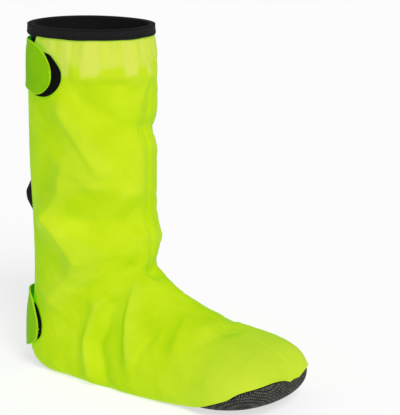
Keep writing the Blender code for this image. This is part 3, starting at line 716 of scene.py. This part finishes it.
def drapeCloth():
    rows = evenRows(0.0, cover["seamEndRow"], drape["rows"])
    cutOut, cutIn = cutsAt(rows)
    share = np.linspace(0, 1, drape["half"])
    full = np.full(len(rows), 180.0)
    outer = spacedAngles(rows, full, cutOut, share)[0]
    inner = spacedAngles(rows, full, cutIn, share)[0]
    angles = np.concatenate([-inner[:, :0:-1], outer], axis=1)
    count = angles.shape[1]
    v = acrossRow(rows, count)
    start = skinPoint(v, angles)
    faces = []
    for i in range(len(rows) - 1):
        for j in range(count - 1):
            k = i * count + j
            faces.append((k, k + count, k + count + 1, k + 1))
    trial = addObject("drapeTrial", newMesh("drapeTrial", start.reshape(-1, 3), [], faces))
    hold = np.full(v.shape, drape["free"])
    hold[(v < drape["heldRows"][0]) | (v > drape["heldRows"][1])] = 1.0
    hold[:, :drape["heldColumns"]] = 1.0
    hold[:, -drape["heldColumns"]:] = 1.0
    hold[start[..., 2] < drape["heldUp"]] = 1.0
    hold = np.maximum(hold, calmMask(start))
    hold[:, drape["half"] - 1] = 1.0  # the front seam
    group = trial.vertex_groups.new(name="held")
    for k, weight in enumerate(hold.ravel()):
        group.add([k], float(weight), "REPLACE")
    cloth = trial.modifiers.new("drape", "CLOTH")
    settings = cloth.settings
    settings.quality = drape["quality"]
    settings.mass = drape["mass"]
    settings.tension_stiffness = drape["stiff"]
    settings.compression_stiffness = drape["stiff"]
    settings.shear_stiffness = drape["stiff"] * drape["shear"]
    settings.bending_stiffness = drape["bend"]
    settings.air_damping = drape["air"]
    settings.shrink_min = -drape["grow"]
    settings.shrink_max = -drape["grow"]
    settings.vertex_group_mass = "held"
    settings.pin_stiffness = 1.0
    cloth.collision_settings.use_collision = False
    cloth.point_cache.frame_start = 1
    cloth.point_cache.frame_end = drape["frames"]
    scene = bpy.context.scene
    for number in range(1, drape["frames"] + 1):
        scene.frame_set(number)
    result = trial.evaluated_get(bpy.context.evaluated_depsgraph_get()).to_mesh()
    moved = np.zeros(len(result.vertices) * 3)
    result.vertices.foreach_get("co", moved)
    bpy.data.objects.remove(trial, do_unlink=True)
    scene.frame_set(1)
    height = ((moved.reshape(start.shape) - start) * skinNormal(v, angles)).sum(-1)
    print("drape: moved up to", round(float(np.abs(height).max()) * 1000, 1), "mm")
    return rows, drape["cap"] * np.tanh(height / drape["cap"]) * drape["share"]


drapeRows, drapeHeight = drapeCloth()


def drapeAt(rows, share, side):
    # the drape's height on one half at rows and shares of the row from the front seam
    seam = drape["half"] - 1
    half = drapeHeight[:, seam:] if side > 0 else drapeHeight[:, seam::-1]
    down = np.interp(rows, drapeRows, np.arange(len(drapeRows)))
    return np.array([curveThrough(line[:, None], s * seam)[:, 0]
                     for line, s in zip(curveThrough(half, down), share)])


print("cloth: two yellow halves")
panel = {
    "rows": 236, "columns": 104, "edgeSteps": (0.00022, 0.00055, 0.0011),
    # small relief, and where it calms down
    "crinkle": 0.00035, "crinkleSize": 0.016, "wrinkle": 0.00016, "wrinkleSize": 0.006,
    "wrinkleFine": 0.6, "seeds": (3.1, 11.7, 7.3), "calmRows": (17.2, 18.2), "calmEdge": 0.012,
    "footCalm": 0.75, "footCalmRows": (10.0, 12.5),
    # hem at the gusset and above the sole
    "hem": 0.0075, "hemRise": 0.0003, "hemStep": 0.0012, "stitchIn": 0.0024,
    "overhang": 0.0008, "overhangWidth": 0.0035, "overhangRows": ((8.0, 8.8), (17.9, 18.3)),
    # front seam
    "lap": 0.0060, "toeLap": 0.0010, "lapRows": (16.3, 17.6), "lapGap": 0.0006,
    "sinkOver": 0.006, "edgeWall": 0.0003, "thickenOver": 0.008,
    "groove": 0.0008, "grooveWidth": 0.0040, "grooveEnd": 7.9, "grooveFade": 0.8,
    "grooveRows": (0.3, 0.9), "ridge": 0.0004, "ridgeOut": 0.0075, "ridgeWidth": 0.0035,
    # painted light: paler colour under the rim, on the crests and over the toe, as shares of the
    # pale code
    "pale": 0.85, "paleRow": 1.03, "paleFade": 0.16, "paleEdge": 0.11, "paleSize": 0.018,
    "paleSeed": 8.4, "paleWave": (15, 2.1, 4), "paleSharp": 1.6, "paleSteps": (0.7, 0.3),
    "crestLight": 0.10, "crestLightFrom": 0.0022, "crestLightReach": 0.005, "toePale": 0.26,
    "toePaleRows": (12.2, 15.8),
}


def relief(bare):
    # the cloth's small unevenness, in three layers from coarse to fine
    crinkleSeed, wrinkleSeed, fineSeed = panel["seeds"]
    creases = 0.5 - np.abs(noiseField(bare, panel["wrinkleSize"] * 2, wrinkleSeed))
    return (panel["crinkle"] * noiseField(bare, panel["crinkleSize"], crinkleSeed),
            panel["wrinkle"] * creases,
            panel["wrinkle"] * panel["wrinkleFine"]
            * noiseField(bare, panel["wrinkleSize"], fineSeed))


def paintedLight(v, angles, bare, raised):
    # painted light: right under the rim the cloth is painted paler, as where it catches the light,
    # down to an edge that is uneven like its gathers
    turn = angles * degree
    count, sway, swayCount = panel["paleWave"]
    wave = panel["paleSharp"] * np.sin(turn * count + sway * np.sin(turn * swayCount))
    steps = smooth(wave + 0.5)
    uneven = noiseField(bare, panel["paleSize"], panel["paleSeed"]) + 2 * steps - 1.6
    edge = panel["paleRow"] + panel["paleEdge"] * uneven
    base, more = panel["paleSteps"]
    pale = panel["pale"] * smooth((edge - v) / panel["paleFade"]) * (base + more * steps)
    # and painted highlights: a little paler on its crests and over the toe
    litCrests = panel["crestLight"] * smooth((raised - panel["crestLightFrom"]) / panel["crestLightReach"])
    litToe = panel["toePale"] * smooth(rise(v, panel["toePaleRows"]))
    return np.maximum(np.maximum(pale, litCrests), litToe)


def makePanel(name, side):
    rows = evenRows(0.0, cover["seamEndRow"], panel["rows"])
    cut = cutsAt(rows)[0 if side > 0 else 1]
    slack = cover["gap"] / 2
    # the inner half's edge runs on under the outer half, as a lapped and glued seam does
    lap = panel["lap"] + (panel["toeLap"] - panel["lap"]) * rise(rows, panel["lapRows"])
    lap = np.full(len(rows), -slack) if side > 0 else lap
    first = 180 + degreesFor(lap, rows, np.full(len(rows), nearFront))
    last = cut + degreesAtCut(slack, rows, cut)
    length = spacedAngles(rows, first, last, np.linspace(0, 1, 3))[1]
    share = edgeShares(length, panel["columns"], panel["edgeSteps"])
    angles, length = spacedAngles(rows, first, last, share)
    angles = side * angles
    v = acrossRow(rows, angles.shape[1])
    bare = barePoint(v, angles)
    fromCut = (1 - share) * length[:, None]
    fromEdge = share * length[:, None]
    under = np.maximum(lap, 0.0)
    seam = fromEdge - under[:, None]
    calm = calmMask(bare)
    free = (1 - calm) * rise(v, cover["rimCalm"]) * (1 - rise(v, panel["calmRows"]))
    inside = smooth(fromCut / panel["calmEdge"])
    detail = foldHeight(bare, v, angles, "fine")
    onward = np.clip(seam / (length - under)[:, None], 0, 1)
    onFoot = smooth(rise(v, panel["footCalmRows"]))
    detail += drapeAt(rows, onward, side) * (1 - panel["footCalm"] * onFoot)
    for layer in relief(bare):
        detail += layer
    height = detail * free * inside + gathers(bare, v, angles) * (1 - calm)
    # the front seam lies in a soft groove on the shaft
    onShaft = smooth((panel["grooveEnd"] - v) / panel["grooveFade"]) * rise(v, panel["grooveRows"])
    height -= panel["groove"] * np.exp(-(seam / panel["grooveWidth"]) ** 2) * onShaft
    beside = (np.abs(seam) - panel["ridgeOut"]) / panel["ridgeWidth"]
    height += panel["ridge"] * np.exp(-beside ** 2) * onShaft
    # the cloth is thin at the seam, and the inner half sinks under the outer one there
    growth = cover["clothWall"] - panel["edgeWall"]
    wall = panel["edgeWall"] + growth * smooth(seam / panel["thickenOver"])
    if side < 0:
        sink = (panel["edgeWall"] + panel["lapGap"]) * (1 - smooth(seam / panel["sinkOver"]))
        height -= sink + growth * smooth(-seam / panel["thickenOver"])
    # turned hem at the gusset and above the sole, which stands out a little over the sole
    height += panel["hemRise"] * (1 - smooth((fromCut - panel["hem"]) / panel["hemStep"]))
    heelRows, toeRows = panel["overhangRows"]
    overSole = rise(v, heelRows) * (1 - rise(v, toeRows))
    height += panel["overhang"] * np.exp(-(fromCut / panel["overhangWidth"]) ** 2) * overSole
    half = roundedHalf(fromCut, cover["clothWall"]) * wall / cover["clothWall"]
    outer = skinPoint(v, angles, height - wall / 2 + half)
    inner = skinPoint(v, angles, height - wall / 2 - half)
    downSide = runLength(barePoint(rows, np.full(len(rows), 90.0)))
    uv = np.stack([fromEdge, acrossRow(downSide, angles.shape[1])], -1)
    # painted light under the rim, on the crests and over the toe, carried to the material as the
    # tint attribute
    pale = paintedLight(v, angles, bare, foldHeight(bare, v, angles) + height)
    piece = addShell(name, outer, inner, (yellowCloth, liningCloth), uv, tint=pale)
    return piece, outer, rows, fromCut


def lineOnGrid(grid, distance, wanted, rowMask):
    # a path across the rows of a grid at the wanted distance from one edge
    path = []
    for line, away, use in zip(grid, distance, rowMask):
        if use:
            order = np.argsort(away)
            path.append([np.interp(wanted, away[order], line[order, k]) for k in range(3)])
    return np.array(path)


lateral, lateralGrid, panelRows, lateralCut = makePanel("coverClothOuter", 1)
medial, medialGrid, panelRows, medialCut = makePanel("coverClothInner", -1)

print("gusset")
gusset = {
    "wall": 0.0012, "rows": 200, "columns": 40, "end": 0.15, "dipRow": 6.5,
    "tuck": 0.004, "leastTuck": 0.25,
    "bulge": 0.012, "bulgeRow": 3.78, "bulgeSpread": 0.42, "bulgeEdge": 0.13, "bulgeLean": 1.9,
    "pleat": 0.0004, "pleatSize": 0.009, "pleatSqueeze": (0.4, 0.4, 1.6), "pleatSeed": 5.5,
}


def makeGusset():
    rows = evenRows(0.0, cover["heelRow"] - gusset["end"], gusset["rows"])
    cutOut, cutIn = cutsAt(rows)
    tuck = gusset["tuck"] * np.clip(cover["heelRow"] - rows, gusset["leastTuck"], 1)
    tuckOut = degreesFor(tuck, rows, cutOut)
    tuckIn = degreesFor(tuck, rows, cutIn)
    share = np.linspace(0, 1, gusset["columns"])
    angles = -(cutIn + tuckIn)[:, None] * (1 - share) + (cutOut + tuckOut)[:, None] * share
    v = acrossRow(rows, gusset["columns"])
    depth = -(cover["clothWall"] + cover["stripGap"] * (1 + np.clip(v - gusset["dipRow"], 0, 1)))
    # folds bulge between the gusset's edges alone, and the bulge leans to one side
    innerShare = np.clip((share - gusset["bulgeEdge"]) / (1 - 2 * gusset["bulgeEdge"]), 0, 1)
    bulge = gusset["bulge"] * np.exp(-((v - gusset["bulgeRow"]) / gusset["bulgeSpread"]) ** 2)
    bulge = bulge * np.sin(math.pi * innerShare ** gusset["bulgeLean"]) ** 2
    squeezed = barePoint(v, angles) * np.array(gusset["pleatSqueeze"])
    pleat = gusset["pleat"] * noiseField(squeezed, gusset["pleatSize"], gusset["pleatSeed"])
    pleat = pleat * np.sin(math.pi * innerShare) * rise(v, cover["rimCalm"])
    outer = skinPoint(v, angles, depth + bulge + pleat)
    inner = outer - skinNormal(v, angles) * gusset["wall"]
    down = runLength(outer[:, gusset["columns"] // 2])
    wide = np.linalg.norm(outer[:, -1] - outer[:, 0], axis=-1)
    uv = np.stack([share[None, :] * wide[:, None], acrossRow(down, gusset["columns"])], -1)
    return addShell("rearGussetCloth", outer, inner, (gussetWeave, gussetWeave), uv)


rearGusset = makeGusset()

print("sole")
sole = {
    "wall": 0.0018, "recess": 0.0006, "rows": 190, "toeRows": 12, "columns": 96,
    "tuck": 0.0035, "tuckDepth": 0.0024, "tuckRun": 0.0035, "fadeRows": 0.35,
    "toeFade": (0.7, 0.2), "widest": 176.0,
}


def makeSole():
    toeStart, toeEnd = cover["toeRows"]
    rows = np.concatenate([evenRows(cover["heelRow"], cover["seamEndRow"], sole["rows"]),
                           np.linspace(toeStart, toeEnd, sole["toeRows"])])
    closed = rows >= toeStart
    cutOut, cutIn = cutsAt(rows)
    # its edge is sewn in under the cloth's hem, apart from the heel's and the toe's ends
    fade = rise(rows, (cover["heelRow"], cover["heelRow"] + sole["fadeRows"]))
    fade = fade * (1 - rise(rows, [toeStart - before for before in sole["toeFade"]]))
    slack = degreesAtCut(cover["gap"] / 2, rows, cutOut)
    reach = fade * degreesAtCut(sole["tuck"], rows, cutOut) - slack * (1 - fade)
    first = np.where(closed, -180.0, -np.minimum(cutIn + reach, sole["widest"]))
    last = np.where(closed, 180.0, np.minimum(cutOut + reach, sole["widest"]))
    share = np.linspace(0, 1, sole["columns"])
    angles, length = spacedAngles(rows, first, last, share)
    v = acrossRow(rows, sole["columns"])
    fromEdge = np.minimum(share, 1 - share)[None, :] * length[:, None]
    under = (1 - smooth((fromEdge - sole["tuck"]) / sole["tuckRun"])) * fade[:, None]
    outer = skinPoint(v, angles, -sole["recess"] - sole["tuckDepth"] * under, False)
    inner = outer - skinNormal(v, angles) * sole["wall"]
    for grid in (outer, inner):
        grid[-1] = grid[-1].mean(axis=0)
    # flat pattern metres: along the foot and across it
    uv = np.stack([outer[..., 0], (share - 0.5)[None, :] * length[:, None]], -1)
    return addShell("gripSoleSheet", outer, inner, (gripSole, gripSole), uv,
                    closedFrom=int(np.argmax(closed)))


gripSoleSheet = makeSole()

print("rim tape")


def tapeProfile(top, rim, out, inside):
    # the tape's section as (distance from the skin, height): up its outside, over the rim,
    # down its inner leg, and back up against the cloth
    wall, bend, steps = tape["wall"], tape["bend"], tape["steps"]
    lower = top - tape["band"]
    corner = [k / (steps - 1) * math.pi / 2 for k in range(steps)]
    edge, edgeDrop, edgeRise = tape["edge"]
    flat, flatDrop = tape["crown"]
    profile = [(out, lower), (out + wall * edge, lower - edgeDrop), (out + wall, lower + edgeRise)]
    profile += [(out + wall, lower + bend + k * tape["bandStep"]) for k in range(steps)]
    profile += [(out + wall - bend * (1 - math.cos(turn)), top - bend + bend * math.sin(turn))
                for turn in corner]
    middle = (out + inside) / 2
    profile += [(middle + flat, top - flatDrop), (middle - flat, top - flatDrop)]
    for turn in (math.pi / 2 - turn for turn in corner):
        profile.append((inside - wall + bend * (1 - math.cos(turn)),
                        top - bend + bend * math.sin(turn)))
    for k in range(1, tape["legSteps"] + 1):
        down = k * (tape["leg"] - tape["legShort"]) / tape["legSteps"]
        profile.append((inside - wall, top - bend - down))
    profile += [(inside - wall * edge, top - tape["leg"]),
                (inside, top - tape["leg"] + edgeDrop),
                (inside, top - tape["leg"] / 2), (inside, rim + cover["gap"]),
                (out, rim + cover["gap"])]
    return profile


def tapeLap(turn):
    # 1 where the tape's ends lie over each other
    return (smooth((turn - tape["lapFrom"]) / tape["lapFade"])
            * smooth((tape["lapTo"] - turn) / tape["lapFade"]))


def makeTape():
    out = cover["stripGap"] - tape["squeeze"]
    inside = -(tape["squeeze"] + cover["clothWall"] + 2 * cover["stripGap"] + tape["gussetWall"])
    top = cover["height"]
    rim = table[0, 1]
    perRow = table[0, 1] - table[1, 1]
    profile = tapeProfile(top, rim, out, inside)
    count = tape["segments"]
    turn = np.arange(count) * 360.0 / count - 180.0
    rings = []
    lap = tapeLap(turn)
    wave = np.sin(turn * degree * tape["ribCount"])
    slow = sum(np.sin(turn * degree * waves + start) * share
               for waves, start, share in tape["unevenWaves"])
    for offset, z in profile:
        outside = offset > out
        v = np.full(count, max((rim - z) / perRow, 0.0))
        stand = offset + tape["lap"] * lap * outside
        if outside:
            stand = stand + tape["rib"] * wave
        ring = barePoint(v, turn) + skinNormal(v, turn) * np.asarray(stand)[:, None]
        low = (z < top - tape["band"] + tape["unevenUp"]) * outside
        ring[:, 2] = z - tape["uneven"] * slow * low
        rings.append(ring)
    size = len(profile)
    faces = []
    for k in range(size):
        for j in range(count):
            k2 = (k + 1) % size
            j2 = (j + 1) % count
            faces.append((k * count + j, k2 * count + j, k2 * count + j2, k * count + j2))
    mesh = newMesh("rimElasticTape", (np.array(rings) + place).reshape(-1, 3), [], faces)
    mesh.materials.append(elasticKnit)
    girth = math.pi * cover["shaftDepth"]
    run = runLength(np.array(profile))
    layer = mesh.uv_layers.new(name="clothMetres")
    uv = np.zeros((len(mesh.loops), 2))
    for face in mesh.polygons:
        for corner in face.loop_indices:
            k, j = divmod(mesh.loops[corner].vertex_index, count)
            uv[corner] = (j / count * girth, run[k])
    layer.data.foreach_set("uv", uv.ravel())
    pointOutwards(mesh)
    mesh.shade_smooth()
    # where its lower edge is sewn down
    turn = np.linspace(-180, 180, tape["seamPoints"])
    z = top - tape["band"] + tape["stitchUp"]
    v = np.full(len(turn), (rim - z) / perRow)
    stand = out + tape["wall"] + tape["stitchOut"] + tape["lap"] * tapeLap(turn)
    seam = barePoint(v, turn) + skinNormal(v, turn) * stand[:, None]
    seam[:, 2] = z
    return addObject("rimElasticTape", mesh), seam


rimTape, tapeSeam = makeTape()

print("tabs and loop patches")


def makeStrip(name, key, out, wall, material, lift=0.0, spread=1.0, drop=0.0, turned=True):
    v, angles = stripGrid(strips[key], strips["along"], strips["across"])
    stand = lift * np.exp(-((angles - strips["liftMiddle"]) / spread) ** 2)
    # it lies lower where no patch is under it
    stand = stand - drop * smooth((strips["patchFrom"] - angles) / strips["dropSpread"])
    surface = skinPoint(v, angles, out + stand)
    # distances to the strip's own edges
    down = np.array([runLength(line) for line in surface])
    toSide = np.minimum(down, down[:, -1:] - down)
    along = runLength(surface[:, strips["across"] // 2])
    toEnd = np.minimum(along, along[-1] - along)[:, None]
    toEdge = np.minimum(toSide, toEnd)
    half = roundedHalf(toEdge, wall)
    turn, tint = 0.0, np.zeros(v.shape)
    if turned:
        turn = smooth((toEdge - strips["edgeTurn"]) / strips["edgeStep"])
        turn = strips["edgeRise"] * (1 - turn)
        # the edge is painted paler: partly a painted highlight where the edge catches the light,
        # partly its welded edge
        tint = smooth((toEdge - strips["paleFrom"]) / strips["paleReach"])
        tint = (1 - tint) * strips["pale"]
    ripple = strips["ripple"] * noiseField(surface, strips["rippleSize"], strips["rippleSeed"])
    ripple = ripple * smooth(toEdge / strips["rippleFrom"])
    outer = skinPoint(v, angles, out + stand + wall / 2 + half + turn + ripple)
    inner = skinPoint(v, angles, out + stand + wall / 2 - half)
    uv = np.stack([acrossRow(along, v.shape[1]), down], -1)
    return addShell(name, outer, inner, (material, material), uv, tint=tint), outer


upperPatch, lowerPatch = (
    makeStrip(name, key, cover["stripGap"], strips["patchWall"], loopPile, turned=False)[0]
    for name, key in (("upperLoopPatch", "upperPatch"), ("lowerLoopPatch", "lowerPatch")))
overPatch = strips["patchWall"] + 2 * cover["stripGap"]
upperTab, upperTabGrid = makeStrip(
    "upperClosingTab", "upperTab", overPatch, cover["clothWall"], tabCloth,
    lift=-strips["press"], spread=strips["pressSpread"], drop=strips["patchWall"])
lowerTab, lowerTabGrid = makeStrip(
    "lowerClosingTab", "lowerTab", overPatch, cover["clothWall"], tabCloth,
    lift=strips["lift"], spread=strips["liftSpread"])


def nearestTo(point, points):
    return int(np.argmin(((points - point) ** 2).sum(1)))


def insetPath(grid, inset):
    # the outline of a grid moved inwards along the cloth, in order round the strip
    edge = np.concatenate([grid[:, 0], grid[-1, 1:-1], grid[::-1, -1]])
    points = grid.reshape(-1, 3)
    normals = unit(np.cross(np.gradient(grid, axis=0), np.gradient(grid, axis=1)).reshape(-1, 3))
    middle = grid[:, grid.shape[1] // 2]
    path = []
    for p, tangent in zip(edge, unit(np.gradient(edge, axis=0))):
        normal = normals[nearestTo(p, points)]
        inward = unit(np.cross(normal, tangent))
        if inward @ (middle[nearestTo(p, middle)] - p) < 0:
            inward = -inward
        moved = p + inward * inset
        k = nearestTo(moved, points)
        # halfway between the nearest point of the grid and the cloth's plane there
        onPlane = moved - normals[k] * ((moved - points[k]) @ normals[k])
        path.append(points[k] * 0.5 + onPlane * 0.5)
    return np.array(path)


# sewn stitches: Geometry Nodes lay one small thread body after another along a path

def stitchNodes():
    tree = bpy.data.node_groups.new("stitchesAlongPath", "GeometryNodeTree")
    face = tree.interface
    face.new_socket("Geometry", in_out="OUTPUT", socket_type="NodeSocketGeometry")
    face.new_socket("Geometry", in_out="INPUT", socket_type="NodeSocketGeometry")
    for name in stitching:
        face.new_socket(name, in_out="INPUT", socket_type="NodeSocketFloat")
    face.new_socket("Material", in_out="INPUT", socket_type="NodeSocketMaterial")
    given = addNode(tree, "NodeGroupInput").outputs
    curve = addNode(tree, "GeometryNodeMeshToCurve", {}, {"Mesh": given["Geometry"]})
    spots = addNode(tree, "GeometryNodeCurveToPoints", {"mode": "LENGTH"},
                    {"Curve": curve.outputs["Curve"], "Length": given["Pitch"]})
    ball = addNode(tree, "GeometryNodeMeshUVSphere", {"Segments": 6, "Rings": 4, "Radius": 0.5})
    size = addNode(tree, "ShaderNodeCombineXYZ", {}, {"X": given["Thread"], "Y": given["Thread"],
                   "Z": given["Length"]})
    stitch = addNode(tree, "GeometryNodeTransform", {}, {"Geometry": ball.outputs["Mesh"],
                     "Scale": size.outputs["Vector"]})
    turn = addNode(tree, "FunctionNodeAlignRotationToVector", {"axis": "Z"},
                   {"Vector": spots.outputs["Tangent"]})
    laid = addNode(tree, "GeometryNodeInstanceOnPoints", {},
                   {"Points": spots.outputs["Points"], "Instance": stitch.outputs["Geometry"],
                    "Rotation": turn.outputs["Rotation"]})
    real = addNode(tree, "GeometryNodeRealizeInstances", {},
                   {"Geometry": laid.outputs["Instances"]})
    dressed = addNode(tree, "GeometryNodeSetMaterial", {},
                      {"Geometry": real.outputs["Geometry"], "Material": given["Material"]})
    addNode(tree, "NodeGroupOutput", {}, {"Geometry": dressed.outputs["Geometry"]})
    return tree


stitching = {"Pitch": 0.0034, "Length": 0.0025, "Thread": 0.0007}  # inputs of the tree
stitchTree = stitchNodes()


def sew(name, paths, material):
    vertices = []
    edges = []
    for path in paths:
        start = len(vertices)
        vertices += [p + place for p in path]
        edges += [(start + k, start + k + 1) for k in range(len(path) - 1)]
    guide = addObject(name + "Guide", newMesh(name, vertices, edges, []))
    modifier = guide.modifiers.new("stitches", "NODES")
    modifier.node_group = stitchTree
    inputs = {**stitching, "Material": material}
    for item in stitchTree.interface.items_tree:
        if item.item_type == "SOCKET" and item.in_out == "INPUT" and item.name in inputs:
            modifier[item.identifier] = inputs[item.name]
    guide.update_tag()
    view = bpy.context.evaluated_depsgraph_get()
    sewn = bpy.data.meshes.new_from_object(guide.evaluated_get(view))
    bpy.data.objects.remove(guide, do_unlink=True)
    sewn.name = name
    sewn.shade_smooth()
    return addObject(name, sewn)


print("stitches")
stitchedRows = (0.42, 8.0)
stitched = (panelRows > stitchedRows[0]) & (panelRows < stitchedRows[1])
panelStitches = sew("panelEdgeStitches", [
    lineOnGrid(grid, fromCut, panel["stitchIn"], stitched)
    for grid, fromCut in ((lateralGrid, lateralCut), (medialGrid, medialCut))], yellowThread)
tabStitches = sew("tabStitches", [insetPath(grid, strips["stitchIn"])
                                  for grid in (upperTabGrid, lowerTabGrid)], yellowThread)
tapeStitches = sew("tapeStitches", [tapeSeam], blackThread)

pieces = (
    (lateral, "coated_cloth", ("lateral_panel",)),
    (medial, "coated_cloth", ("medial_panel",)),
    (rearGusset, "gusset_cloth", ("rear_gusset",)),
    (gripSoleSheet, "grip_sole", ("sole",)),
    (rimTape, "elastic_tape", ("top_tape",)),
    (upperPatch, "loop_fabric", ("upper_loop_patch",)),
    (upperTab, "tab_cloth", ("upper_tab",)),
    (lowerPatch, "loop_fabric", ("lower_loop_patch",)),
    (lowerTab, "tab_cloth", ("lower_tab",)),
    (panelStitches, "coated_cloth", ()),
    (tabStitches, "tab_cloth", ()),
    (tapeStitches, "elastic_tape", ()),
)
for piece, slotName, nodes in pieces:
    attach(piece, "root")
    if nodes:
        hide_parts(*nodes)

print("floor, light and camera")
studio = {
    "floor": 40.0, "floorCode": "a9a8aa", "floorGlow": 0.66, "world": 0.35,
    "sun": {"turn": 52, "up": 42, "spread": 24, "power": 2.03},
}


def makeFloor():
    side = studio["floor"]
    corners = ((-side, -side, 0), (side, -side, 0), (side, side, 0), (-side, side, 0))
    mesh = newMesh("studioFloor", corners, [], [(0, 1, 2, 3)])
    mesh.materials.append(newMaterial("mattPaperFloor", {
        "Base Color": hexColour(studio["floorCode"]), "Roughness": 0.9,
        "Specular IOR Level": 0.1, "Emission Color": (1, 1, 1, 1),
        "Emission Strength": studio["floorGlow"]})[0])
    addObject("studioFloor", mesh)


def makeSun():
    # a broad, soft lamp bank, in front of the cover, above it and a little to the right
    lamp = studio["sun"]
    data = bpy.data.lights.new("softLampBank", "SUN")
    data.angle = lamp["spread"] * degree
    data.energy = lamp["power"]
    light = addObject("softLampBank", data)
    light.rotation_euler = ((90 - lamp["up"]) * degree, 0, lamp["turn"] * degree)


makeFloor()
makeSun()
world = bpy.data.worlds.new("whiteStudio")
world.use_nodes = True
background = world.node_tree.nodes["Background"]
background.inputs["Color"].default_value = (1, 1, 1, 1)
background.inputs["Strength"].default_value = studio["world"]
bpy.context.scene.world = world
bpy.context.scene.view_settings.view_transform = "Standard"

# the photograph's viewpoint, fitted to the cover's outline
photoView = {"at": (1.01687, -1.25675, 0.57682), "down": 14.2086, "turn": 32.824,
             "lens": 136.02, "sensor": 36.0}
camera = bpy.data.cameras.new("photoView")
camera.sensor_fit = "HORIZONTAL"
camera.sensor_width = photoView["sensor"]
camera.lens = photoView["lens"]
viewer = addObject("photoView", camera)
viewer.location = Vector(photoView["at"]) + Vector(place)
viewer.rotation_euler = ((90 - photoView["down"]) * degree, 0, photoView["turn"] * degree)
bpy.context.scene.camera = viewer

print("done")
